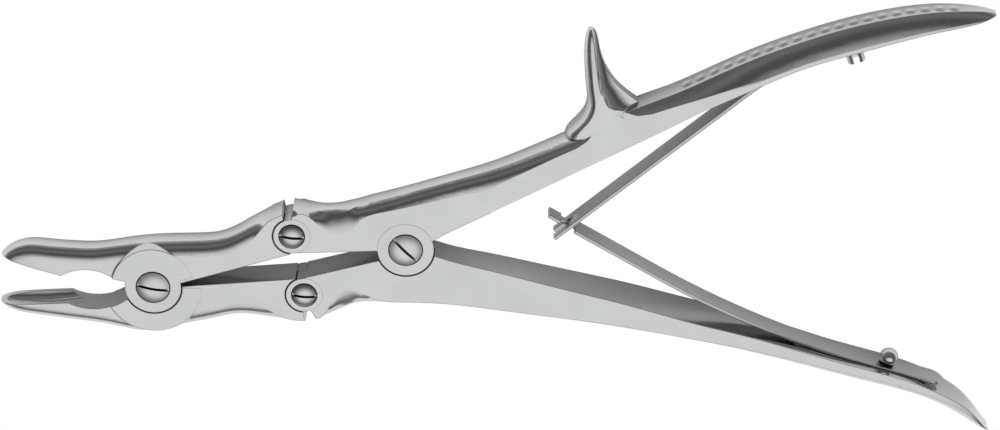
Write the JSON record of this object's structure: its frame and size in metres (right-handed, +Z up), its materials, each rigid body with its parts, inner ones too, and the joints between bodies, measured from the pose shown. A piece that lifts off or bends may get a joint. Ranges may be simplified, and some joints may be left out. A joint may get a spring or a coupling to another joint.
{
  "type": "bone rongeur",
  "caption": "Double-action bone rongeur with cupped jaws, compound lever linkage, finger spur and hooked leaf springs that hold the handles open.",
  "frame": {"origin": "centre of the instrument's outline on the surface it lies on", "axes": "+X from the jaws to the handle ends, +Y towards the handle with the finger spur, +Z up out of the face with the screw heads"},
  "size_m": [0.2708, 0.134, 0.0151],
  "materials": {
    "satin_steel": "satin ground stainless steel",
    "polished_steel": "polished stainless steel screws",
    "spring_steel": "brushed spring steel"
  },
  "bodies": {
    "upper_handle_body": {"upper_handle": "satin_steel", "upper_spring_screw": "polished_steel"},
    "lower_handle_body": {"lower_handle": "satin_steel", "handle_pivot_screw": "polished_steel", "lower_spring_screw": "polished_steel"},
    "upper_jaw_body": {"upper_jaw": "satin_steel", "upper_link_screw": "polished_steel"},
    "lower_jaw_body": {"lower_jaw": "satin_steel", "lower_link_screw": "polished_steel", "jaw_pivot_screw": "polished_steel"},
    "upper_leaf_body": {"upper_leaf_spring": "spring_steel"},
    "lower_leaf_body": {"lower_leaf_spring": "spring_steel"}
  },
  "joints": [
    {"name": "handle_pivot", "type": "hinge", "parent": "upper_handle_body", "child": "lower_handle_body", "pos_m": [-0.0252, 0.01457, 0.00755], "axis": [0, 0, 1], "range_deg": [0, 26], "stiffness_Nm_per_rad": 2, "springref_deg": -20.05},
    {"name": "upper_link", "type": "hinge", "parent": "upper_handle_body", "child": "upper_jaw_body", "pos_m": [-0.0542, 0.02332, 0.00755], "axis": [0, 0, 1], "range_deg": [0, 22.5]},
    {"name": "lower_link", "type": "hinge", "parent": "lower_handle_body", "child": "lower_jaw_body", "pos_m": [-0.0542, 0.00582, 0.00755], "axis": [0, 0, 1], "range_deg": [-22.5, 0]},
    {"name": "upper_spring_flex", "type": "hinge", "parent": "upper_handle_body", "child": "upper_leaf_body", "pos_m": [0.0788, 0.04777, 0.00755], "axis": [0, 0, 1], "range_deg": [-8, 0], "deforming": ["upper_leaf_spring"]},
    {"name": "lower_spring_flex", "type": "hinge", "parent": "lower_handle_body", "child": "lower_leaf_body", "pos_m": [0.0848, -0.03603, 0.00755], "axis": [0, 0, 1], "range_deg": [0, 8], "deforming": ["lower_leaf_spring"]}
  ],
  "couplings": [
    {"joint": "upper_link", "follows": "handle_pivot", "ratio": 0.861},
    {"joint": "lower_link", "follows": "handle_pivot", "ratio": -0.861},
    {"joint": "upper_spring_flex", "follows": "handle_pivot", "ratio": -0.29},
    {"joint": "lower_spring_flex", "follows": "handle_pivot", "ratio": 0.29}
  ]
}
